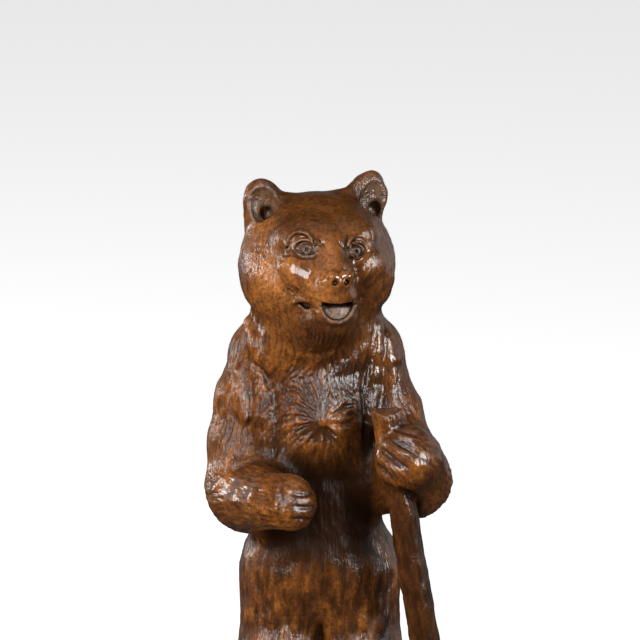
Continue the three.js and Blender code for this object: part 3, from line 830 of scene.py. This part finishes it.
def toe_lines():
    tip = -FOOT_FORWARD - FOOT_HALF[1]
    for side in SIDES:
        for n in (-1, 0, 1):
            x = side * FOOT_SPREAD + 2.3 * n
            yield ((x, tip + 4.6, 6), (x, tip + 1, 4.2), (x, tip, 0.8)), 0.75, 0.6


def chest_lines():
    """Long grooves from the collar down the left of the chest"""
    for n in range(6):
        x = 2.2 + 1.05 * n
        lean = 0.25 * n
        yield ((x, -9.5, 71.5 - 0.3 * n), (x + 0.3, -10, 67.5), (x - 0.1 - lean, -10.5, 63.5)), 0.5, 0.45


def whorl_rays():
    """Grooves that run together on the chest: longest above, and none to the bear's left"""
    draw = np.random.default_rng(3).uniform
    degrees = 62
    while degrees < 318:
        above = math.exp(-(((degrees - 100) / 28) ** 2))
        below = math.exp(-(((degrees - 275) / 40) ** 2))
        reach = (4.6 + 4.4 * above - 0.6 * below) * draw(0.75, 1.15)
        near = draw(0.2, 0.9)
        bend = draw(-0.02, 0.05)
        places = []
        for r in (near, (near + reach) / 2, reach):
            a = math.radians(degrees) + bend * r
            places.append(WHORL + (r * math.cos(a), 0.2 * r, r * math.sin(a)))
        yield places, draw(0.26, 0.38), draw(0.45, 0.7)
        degrees += draw(5, 8.5)


# Round shoulders beside the lines of the fist, so that its fingers bulge
KNUCKLES = [(places, 2.2 * half_width, 0.75 * depth) for places, half_width, depth in FIST_LINES]
folds = laid_on(FOLDS + KNUCKLES)
cuts = laid_on([*FACE_LINES, *FIST_LINES, *PAW_LINES, *toe_lines(), *chest_lines(), *whorl_rays()])

# Which way the fur lies: along the limbs, down the trunk, away from the whorl


def fur_way(p, n):
    """The fur's direction at each place, along the surface whose normals are given"""
    q = in_head(p)
    down = np.array([0, 0, -1])
    nose = q - NOSE + (0, 0, 2)
    side_of_head = step(3, 8, np.abs(q[:, 0]))[:, None]
    head_way = (unit(nose) * (1 - side_of_head) + (down + 0.25 * unit(q)) * side_of_head) @ TO_HEAD.T
    from_whorl = (p - WHORL) * (1, 0, 1)
    reach = length(from_whorl)
    pull = (np.exp(-((reach / 9) ** 2)) * step(0, -4, p[:, 1]))[:, None]
    trunk_way = unit(from_whorl) * pull + (down + 0.06 * p * (1, 0, 0)) * (1 - pull)
    # How far each part is, and the way there
    ways = [
        (torso(p), trunk_way),
        (head(p) - 0.6, head_way),
        (right_upper_arm(p), (-0.25, -0.1, -1)),
        (left_upper_arm(p), (0.25, -0.15, -1)),
        (right_forearm(p) - 0.8, np.subtract(RIGHT_WRIST, RIGHT_ELBOW)),
        (left_forearm(p) - 0.8, np.subtract(FIST, LEFT_ELBOW)),
        (open_paw(p) - 0.8, (0.9, -0.4, -0.15)),
        (fist(p) - 0.8, (-0.7, -0.3, 0.45)),
        (staff(p) - 0.5, STAFF_ALONG),
        (np.minimum(leg(p, -1), leg(p, 1)), (0, -0.15, -1)),
        (base(p) - 0.3, (1, 0.2, 0)),
    ]
    nearest = np.min([d for d, _ in ways], axis=0)
    way = np.zeros_like(p)
    for d, one in ways:
        weight = np.exp(-np.clip((d - nearest) / 0.8, 0, 40))[:, None]
        one = np.broadcast_to(one, p.shape)
        way += weight * unit(one)
    return unit(way - n * np.einsum("ij,ij->i", way, n)[:, None])


# Strokes of fur, scattered over the surface: how long, how wide and how deep at each place


def smoothness(p):
    """1 where the wood is left smooth, such as the muzzle and the forehead, and 0 where fur is cut"""
    q = in_head(p)
    across, y, z = np.abs(q[:, 0]), q[:, 1], q[:, 2]
    muzzle_top = step(3.4, 1.6, across) * step(-9, -11, y) * step(-2.5, -1, z)
    forehead = step(5.5, 2.5, across) * step(-2, -6, y) * step(3.5, 5.5, z)
    eyes = sum(step(3.4, 2.2, length(q - EYE[side])) for side in SIDES)
    cheek = step(3.6, 2.2, length(q - (-5.1, -11.8, 2.6)))
    crown = step(5, 8, z) * step(7, 5, across)
    most = np.max([muzzle_top, 0.75 * forehead, eyes, cheek, 0.9 * crown], axis=0)
    return np.clip(most, 0, 1) * step(74, 76, p[:, 2])


def polish(p):
    """1 where the varnish is smooth enough to mirror the lights, towards 0 where the grain shows"""
    shoulder = 0.6 * step(1.3, 0.6, length((p - (10.4, -4.2, 69)) / (3.6, 3.5, 7.5)))
    forearm = 0.45 * step(1, 0, np.minimum(right_forearm(p), open_paw(p)))
    knuckles = 0.5 * step(1, 0, fist(p))
    return np.max([smoothness(p), shoulder, forearm, knuckles], axis=0)


def stroke_sizes(p):
    z = p[:, 2]
    front = step(4, -4, p[:, 1])
    on_head = step(73, 77, z)
    low = step(44, 38, z)
    long = 4.2 - 2.1 * on_head + 1.6 * low + 1 - front
    half_width = 0.42 - 0.02 * on_head + 0.42 * np.maximum(low, 1 - front)
    chest = step(8, 5, np.abs(p[:, 0])) * step(-5, -8, p[:, 1]) * step(58, 62, z) * step(75, 71, z)
    deep = 0.17 - 0.06 * on_head + 0.09 * np.maximum(low, 1 - front) + 0.1 * chest
    deep = np.where(z < 0.6, 0.07, deep)
    return long, half_width, deep * (1 - 0.95 * smoothness(p))


def scattered(count, weight, random):
    """Random places on the mesh, as many to an area as the weight says"""
    a, b, c = (points[faces[:, n]] for n in range(3))
    area = length(np.cross(b - a, c - a)) / 2 * weight
    chosen = random.choice(len(faces), count, p=area / area.sum())
    u = np.sqrt(random.random((count, 1)))
    v = random.random((count, 1))
    return (1 - u) * a[chosen] + u * (1 - v) * b[chosen] + u * v * c[chosen]


STROKES = 9000
STEPS = 5


def fur_strokes():
    """Runs that follow the fur from scattered places, with their half widths and depths"""
    random = np.random.default_rng(7)
    middle = points[faces].mean(axis=1)
    long, half_width, _ = stroke_sizes(middle)
    weight = np.where(middle[:, 2] < -0.2, 0.02, 1) / (long * half_width)
    p = scattered(STROKES, weight, random)
    long, half_width, deep = stroke_sizes(p)
    long *= random.uniform(0.6, 1.3, STROKES)
    deep *= random.uniform(0.5, 1.25, STROKES)
    half_width *= random.uniform(0.75, 1.2, STROKES)
    runs = [p]
    for _ in range(STEPS - 1):
        n = unit(slope_of(p, NORMAL_REACH))
        p = p + fur_way(p, n) * (long / (STEPS - 1))[:, None]
        p = settle(p, 0.6, 1)
        runs.append(p)
    return zip(np.stack(runs, 1), half_width, deep)


def cut_depths(grooves, places, roundness=1):
    """How deep the cuts go at each place. Where cuts cross, the deeper one counts."""
    tree = KDTree(len(places))
    for n, place in enumerate(places):
        tree.insert(place, n)
    tree.balance()
    depth = np.zeros(len(places))
    for run, half_width, deep in grooves:
        middle = (run[0] + run[-1]) / 2
        reach = np.max(np.linalg.norm(run - middle, axis=1)) + half_width
        found = [n for _, n, _ in tree.find_range(middle, reach)]
        if not found:
            continue
        q = places[found]
        best = np.full(len(found), 1e9)
        along = np.zeros(len(found))
        for n in range(len(run) - 1):
            a, ab = run[n], run[n + 1] - run[n]
            t = np.clip((q - a) @ ab / max(ab @ ab, 1e-9), 0, 1)
            off = length(q - a - t[:, None] * ab)
            closer = off < best
            best[closer] = off[closer]
            along[closer] = (n + t[closer]) / (len(run) - 1)
        hollow = np.clip(1 - (best / half_width) ** 2, 0, 1) ** roundness
        taper = np.sin(math.pi * np.clip(along, 0.02, 0.98)) ** 0.7
        depth[found] = np.maximum(depth[found], deep * hollow * taper)
    return depth


UNEVENNESS = 0.02
WAVES = 14


def unevenness(p):
    """How far the hand-carved surface strays from a perfectly even one"""
    random = np.random.default_rng(5)
    total = np.zeros(len(p))
    for _ in range(WAVES):
        way = unit(random.normal(size=(1, 3)))[0]
        wave_length = random.uniform(2.6, 6.5)
        total += wave_length / 5 * np.sin(p @ way * (2 * math.pi / wave_length) + random.uniform(0, 6.3))
    return UNEVENNESS * total * (1 - smoothness(p)) * step(-BASE_DEEP + 0.3, -BASE_DEEP + 1.5, p[:, 2])


cuts += fur_strokes()
depths = cut_depths(cuts, points)
fold_depths = cut_depths(folds, points, 2)
relief = points - normals * (depths + fold_depths + unevenness(points))[:, None]
relief[:, 2] = np.maximum(relief[:, 2], -BASE_DEEP)


def openness(p, n):
    """1 on open ground, towards 0 deep in folds and under overhangs"""
    closed = np.zeros(len(p))
    for reach, weight in ((0.7, 0.2), (1.8, 0.3), (4, 0.3), (8, 0.2)):
        closed += weight * np.clip(1 - carving(p + n * reach) / reach, 0, 1)
    return 1 - closed


# Each point's place in the pattern of the fibres, which is drawn out down the figure and, on the
# right forearm, along it. The forearm takes its fibres from another part of the pattern.
streak_place = points * (1, 1, 0.14)
along_forearm = direction(np.subtract(RIGHT_WRIST, RIGHT_ELBOW))
on_forearm = np.minimum(right_forearm(points), open_paw(points)) < 0.4
drawn_out = points - 0.86 * (points @ along_forearm)[:, None] * along_forearm
streak_place[on_forearm] = drawn_out[on_forearm] + 50
# A reddish stain beside the whorl
red_place = (points - WHORL - (-3.2, 0, 3.4)) * (1, 0, 0.9)
redness = np.exp(-((length(red_place) / 4.6) ** 2)) * (points[:, 1] < -5)


# Spots on the head: the middle and half sizes of each in the head's frame. They are made paler
# and ash grey: a painted sheen in the hollows of the ears, bare wood in the mouth and the eyes.
BARE_AND_SHEEN_SPOTS = [
    ((-8.9, 0.4, 11.3), (2.7, 2.2, 3.6)),
    ((9.7, 0.4, 11.4), (2.7, 2.2, 3.8)),
    ((0.1, -13.9, -4.4), (2.7, 2, 1.9)),
    ((3.6, -10.9, 5.4), (2.6, 1.6, 1.5)),
    ((-4.2, -11.3, 5.8), (1.7, 1.3, 1.1)),
]
# Lighter towards honey on the muzzle, the right cheek and the brows: partly painted light where the lights
# fall on them, partly a worn, lighter tone
WORN_AND_LIT_SPOTS = [
    ((-1.5, -13.5, 0.5), (4.5, 4.5, 4)),
    ((-8, -8, 1.5), (5, 5, 6)),
    ((0, -9, 6.5), (7.5, 4, 2)),
]


def in_spots(p, spots, outside, inside):
    """1 in a spot, 0 away from all of them, and smooth between the two distances"""
    q = in_head(p)
    return np.max([step(outside, inside, mass(q, *spot)) for spot in spots], axis=0)


bare_and_sheen = in_spots(points, BARE_AND_SHEEN_SPOTS, 0.5, -0.3)
openings = openness(points, normals)
# The hollows of the ears and the tongue get less of the painted shade, so they stay paler
paler = bare_and_sheen * (1 - smoothness(points)) * step(0.3, 0.55, openings)
# How open each place is: it sets the painted shade in folds and recesses, and the gloss
open_ground = openings - 0.3 * fold_depths + 0.3 * paler


def shade_and_dark_tone_at(p):
    """Darker colour: painted shade under the chin, on the belly, on the branch and under the fist; a
    darker tone on the crown, round the eyes, inside the right arm and on the bridge
    """
    q = in_head(p)
    across, y, z = np.abs(p[:, 0]), p[:, 1], p[:, 2]
    front = step(0, -6, y)
    crown = 0.55 * step(5.5, 9, q[:, 2]) * step(9, 6.5, np.abs(q[:, 0]))
    # Painted shade under the chin, on the belly, on the branch below the fist and under the fist
    throat = 0.5 * step(-3.5, -6.5, q[:, 2]) * step(-14, -9, q[:, 2]) * front * step(8, 5, np.abs(q[:, 0]))
    belly = step(57, 50, z) * step(30, 38, z) * front * step(11, 8, across) * step(-14, -10, y)
    branch = 0.6 * step(0.8, 0.2, staff(p)) * step(54, 50, z)
    under_fist = 0.5 * step(1, 0, fist(p)) * step(57, 50, z)
    sockets = 0.5 * step(2.3, 0.9, length((q - EYE[1]) * (0.8, 1, 1.1)))
    sockets += 0.45 * step(1.9, 0.9, length(q - EYE[-1]))
    inner_arm = 0.4 * step(1.2, 0.7, length((p - (-8.8, -8.5, 58)) / (2.4, 3, 8)))
    bridge = 0.3 * step(2.6, 1, length((q - (2.2, -12, 3.6)) / (1, 1, 1.4)))
    return np.max([crown, throat, belly, branch, under_fist, sockets, inner_arm, bridge], axis=0)


def gloss_at(p):
    """How well the varnish shines: less in folds and hollows, where the colour is darkened, beside the
    whorl and on the upper arms
    """
    open_gloss = 0.1 + 0.9 * np.clip((open_ground - 0.35) / 0.45, 0, 1)
    right_arm = 0.4 * step(0.8, 0.2, right_upper_arm(p)) * step(50, 56, p[:, 2])
    left_arm = 0.4 * step(0.8, 0.2, left_upper_arm(p)) * step(11, 13, p[:, 0])
    return open_gloss * (1 - 0.95 * shade_and_dark_tone_at(p)) * (1 - 0.5 * redness) * (1 - right_arm - left_arm)


def to_metres(p):
    return (p - (*BASE_MIDDLE, -BASE_DEEP)) * HUNDREDTH


def add_object(name, data):
    obj = bpy.data.objects.new(name, data)
    scene.collection.objects.link(obj)
    return obj


def mesh_object(name, points, faces):
    mesh = bpy.data.meshes.new(name)
    mesh.vertices.add(len(points))
    mesh.vertices.foreach_set("co", np.ascontiguousarray(points, np.float32).ravel())
    mesh.loops.add(faces.size)
    mesh.loops.foreach_set("vertex_index", faces.astype(np.int32).ravel())
    mesh.polygons.add(len(faces))
    mesh.polygons.foreach_set("loop_start", np.arange(0, faces.size, 3, dtype=np.int32))
    mesh.polygons.foreach_set("use_smooth", np.ones(len(faces), bool))
    mesh.update()
    return add_object(name, mesh)


bear = mesh_object("bear", to_metres(relief), faces)
# What the material reads at each vertex, by its name
attributes = {
    "open_ground": open_ground,
    "cut_depth": depths,
    "redness": redness,
    "shade_and_dark_tone": shade_and_dark_tone_at(points),
    "worn_and_lit": in_spots(points, WORN_AND_LIT_SPOTS, 1.5, -1.5),
    "bare_and_sheen": bare_and_sheen,
    "grain": 1 - 0.9 * polish(points),
    "gloss": gloss_at(points),
    "streak_place": streak_place,
}
for name, values in attributes.items():
    kind, field = ("FLOAT", "value") if values.ndim == 1 else ("FLOAT_VECTOR", "vector")
    layer = bear.data.attributes.new(name, kind, "POINT")
    layer.data.foreach_set(field, np.ascontiguousarray(values, np.float32).ravel())

# Varnished walnut


class Nodes:
    """Short ways to add and link the nodes of a material or a world"""

    def __init__(self, owner, shader):
        owner.use_nodes = True
        self.tree = owner.node_tree
        self.shader = self.tree.nodes[shader]

    def fill(self, node, inputs):
        """Puts a value or a link into each of the inputs"""
        for name, value in inputs.items():
            if isinstance(value, bpy.types.NodeSocket):
                self.tree.links.new(value, node.inputs[name])
            else:
                node.inputs[name].default_value = value
        return node

    def add(self, kind, inputs, **settings):
        node = self.tree.nodes.new("ShaderNode" + kind)
        for name, value in settings.items():
            setattr(node, name, value)
        return self.fill(node, inputs)

    def attribute(self, name, output="Fac"):
        return self.add("Attribute", {}, attribute_name=name).outputs[output]

    def noise(self, place, scale, detail=2, roughness=0.5):
        inputs = {"Vector": place, "Scale": scale, "Detail": detail, "Roughness": roughness}
        return self.add("TexNoise", inputs).outputs["Fac"]

    def ramp(self, value, low, high, to_low=0, to_high=1, shape="LINEAR"):
        inputs = {"Value": value, "From Min": low, "From Max": high, "To Min": to_low, "To Max": to_high}
        return self.add("MapRange", inputs, interpolation_type=shape).outputs["Result"]

    def math(self, operation, a, b):
        return self.add("Math", {0: a, 1: b}, operation=operation).outputs[0]

    def mix(self, amount, a, b):
        return self.add("Mix", {"Factor": amount, 6: a, 7: b}, data_type="RGBA").outputs[2]

    def bump(self, height, distance, strength, **normal):
        inputs = {"Height": height, "Distance": distance, "Strength": strength, **normal}
        return self.add("Bump", inputs).outputs["Normal"]


AMBER = (0.36, 0.118, 0.018, 1)
CHESTNUT = (0.11, 0.034, 0.01, 1)
UMBER = (0.022, 0.008, 0.003, 1)
HONEY = (0.55, 0.2, 0.05, 1)
# The near-black of the painted shade
SHADE_BLACK = (0.006, 0.0025, 0.0012, 1)
RED = (0.16, 0.022, 0.007, 1)
ASH = (0.26, 0.175, 0.125, 1)


def varnished_walnut():
    material = bpy.data.materials.new("varnished_walnut")
    n = Nodes(material, "Principled BSDF")

    def tinted(colour, name, pattern, tint):
        """The colour with a tint where the attribute says so, broken up by a pattern"""
        return n.mix(n.math("MULTIPLY", n.attribute(name), pattern), colour, tint)

    streak = n.attribute("streak_place", "Vector")
    whole = n.add("TexCoord", {}).outputs["Object"]
    patches = n.noise(whole, 70, 3)
    mottle = n.noise(whole, 300, 3, 0.6)
    speckle = n.noise(whole, 900, 2, 0.6)
    fibres = n.noise(streak, 1.6, 3, 0.6)
    tone = n.math("ADD", n.ramp(patches, 0.35, 0.65, 0, 0.45), n.ramp(mottle, 0.35, 0.65, 0, 0.4))
    tone = n.math("ADD", tone, n.ramp(fibres, 0.35, 0.65, -0.2, 0.3))
    colour = n.mix(n.ramp(tone, 0.1, 1), CHESTNUT, AMBER)
    # Painted light and wear: honey on the muzzle, the right cheek and the brows
    colour = tinted(colour, "worn_and_lit", n.ramp(patches, 0.3, 0.7, 0.1, 0.5), HONEY)
    colour = tinted(colour, "redness", n.ramp(mottle, 0.35, 0.6, 0, 0.7), RED)
    # Ash grey: a painted sheen in the ear hollows, bare wood in the mouth and the eyes
    colour = tinted(colour, "bare_and_sheen", n.ramp(speckle, 0.4, 0.6), ASH)
    colour = n.mix(n.ramp(speckle, 0.46, 0.68, 0, 0.6), colour, UMBER)
    colour = n.mix(n.ramp(n.attribute("cut_depth"), 0.02, 0.26, 0, 0.85), colour, UMBER)
    # Painted shade under the chin, on the belly, the branch and under the fist, and a darker tone
    # elsewhere
    colour = n.mix(n.ramp(n.attribute("shade_and_dark_tone"), 0, 1), colour, UMBER)
    # Painted shade: near-black in folds, in recesses and under overhangs
    colour = n.mix(n.ramp(n.attribute("open_ground"), 0.9, 0.35, 0, 0.95), colour, SHADE_BLACK)
    fine = n.math("MULTIPLY", n.noise(streak, 1.9, 3, 0.6), n.attribute("grain"))
    coarse = n.math("MAXIMUM", n.attribute("grain"), n.ramp(n.attribute("bare_and_sheen"), 0, 1, 0, 4))
    rough = n.math("MULTIPLY", speckle, coarse)
    normal = n.bump(rough, 0.0002, 0.5, Normal=n.bump(fine, 0.0009, 0.6))
    varnish = {
        "Base Color": colour,
        "Roughness": n.ramp(mottle, 0.3, 0.7, 0.32, 0.5),
        "Specular IOR Level": 0.06,
        "Coat Weight": n.attribute("gloss"),
        "Coat Roughness": 0.06,
        "Coat IOR": 1.55,
        "Normal": normal,
        "Coat Normal": normal,
    }
    n.fill(n.shader, varnish)
    return material


bear.data.materials.append(varnished_walnut())
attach(bear, "root")
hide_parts(NODE)

# Floor, lights and camera

FLOOR_HALF = 4
FLOOR_CORNERS = np.array([(-1, -1, 0), (1, -1, 0), (1, 1, 0), (-1, 1, 0)]) * FLOOR_HALF
floor = mesh_object("floor", FLOOR_CORNERS, np.array([(0, 1, 2), (0, 2, 3)]))
pale = bpy.data.materials.new("pale_floor")
pale_nodes = Nodes(pale, "Principled BSDF")
WHITE = (1, 1, 1, 1)
looks = {"Base Color": (0.85, 0.85, 0.85, 1), "Emission Color": WHITE, "Emission Strength": 0.7}
pale_nodes.fill(pale_nodes.shader, looks)
floor.data.materials.append(pale)
# The floor doesn't light the bear from below, which keeps the wood's colour deep
floor.visible_diffuse = floor.visible_glossy = False

ROOM_LIGHT = 0.035


def studio_world():
    """A dim room with a pale wall round the bear's back and sides, weaker straight behind it"""
    world = bpy.data.worlds.new("studio")
    scene.world = world
    n = Nodes(world, "Background")
    way = n.add("TexCoord", {}).outputs["Generated"]

    def glow(towards, start, full, strength):
        """Light that grows from start to full, the cosines of the angle from a direction"""
        dot = n.add("VectorMath", {0: way, 1: towards}, operation="DOT_PRODUCT")
        return n.ramp(dot.outputs["Value"], start, full, 0, strength, "SMOOTHSTEP")

    walls = n.math("MULTIPLY", glow((0, 1, 0), -0.15, 0.3, 0.45), glow((0, 0, 1), -0.32, -0.1, 1))
    walls = n.math("MULTIPLY", walls, glow((0, 0, -1), -0.5, -0.2, 1))
    behind = n.math("MULTIPLY", walls, glow((0, 1, 0), 0.8, 0.95, 0.7))
    walls = n.math("SUBTRACT", walls, behind)
    n.fill(n.shader, {"Strength": n.math("ADD", walls, ROOM_LIGHT), "Color": WHITE})


studio_world()

MIDDLE = Vector((0, 0, 0.15))
# Each light: degrees to the right of the camera, degrees up and metres away as seen from the
# bear's middle, its size, its power, whether it shades the wood and whether the varnish mirrors it
LIGHTS = [
    ("broad_light", -64, 20, 1.3, (0.6, 0.5), 15, True, False),
    ("left_glint", -110, 4, 1.2, (0.3, 0.2), 3, False, True),
    ("window_glint", -34, 7, 1.3, (0.4, 0.75), 8, True, True),
    ("front_glint", -4, 34, 1.4, (0.24, 0.44), 9, True, True),
    ("right_glint", 48, 5, 1.3, (0.16, 0.8), 9, True, True),
    ("right_sheen", 52, 5, 1.3, (0.95, 0.85), 11, False, True),
    ("top_sheen", 0, 78, 1.5, (2.1, 2.1), 4.5, False, True),
]


def soft_light(name, turn, height, distance, size, power, shades, shines):
    light = bpy.data.lights.new(name, "AREA")
    light.shape = "ELLIPSE"
    light.size, light.size_y = size
    light.energy = power
    obj = add_object(name, light)
    turn, height = math.radians(turn), math.radians(height)
    way = Vector((math.sin(turn) * math.cos(height), -math.cos(turn) * math.cos(height), math.sin(height)))
    obj.location = MIDDLE + way * distance
    obj.rotation_euler = (MIDDLE - obj.location).to_track_quat("-Z", "Y").to_euler()
    obj.visible_diffuse = shades
    obj.visible_glossy = shines


for light in LIGHTS:
    soft_light(*light)

CAMERA_DISTANCE = 1.2455
CAMERA_ELEVATION = math.radians(14)
FOCAL_PIXELS = 3375
PHOTO_PIXELS = 640
SENSOR_MM = 36
AIM = Vector((-0.0116, 0.0018, 0.1767))

camera_data = bpy.data.cameras.new("camera")
camera_data.sensor_width = SENSOR_MM
camera_data.lens = FOCAL_PIXELS * SENSOR_MM / PHOTO_PIXELS
camera = add_object("camera", camera_data)
back = Vector((0, -math.cos(CAMERA_ELEVATION), math.sin(CAMERA_ELEVATION)))
camera.location = AIM + back * CAMERA_DISTANCE
camera.rotation_euler = (-back).to_track_quat("-Z", "Y").to_euler()
scene.camera = camera
scene.view_settings.view_transform = "Standard"
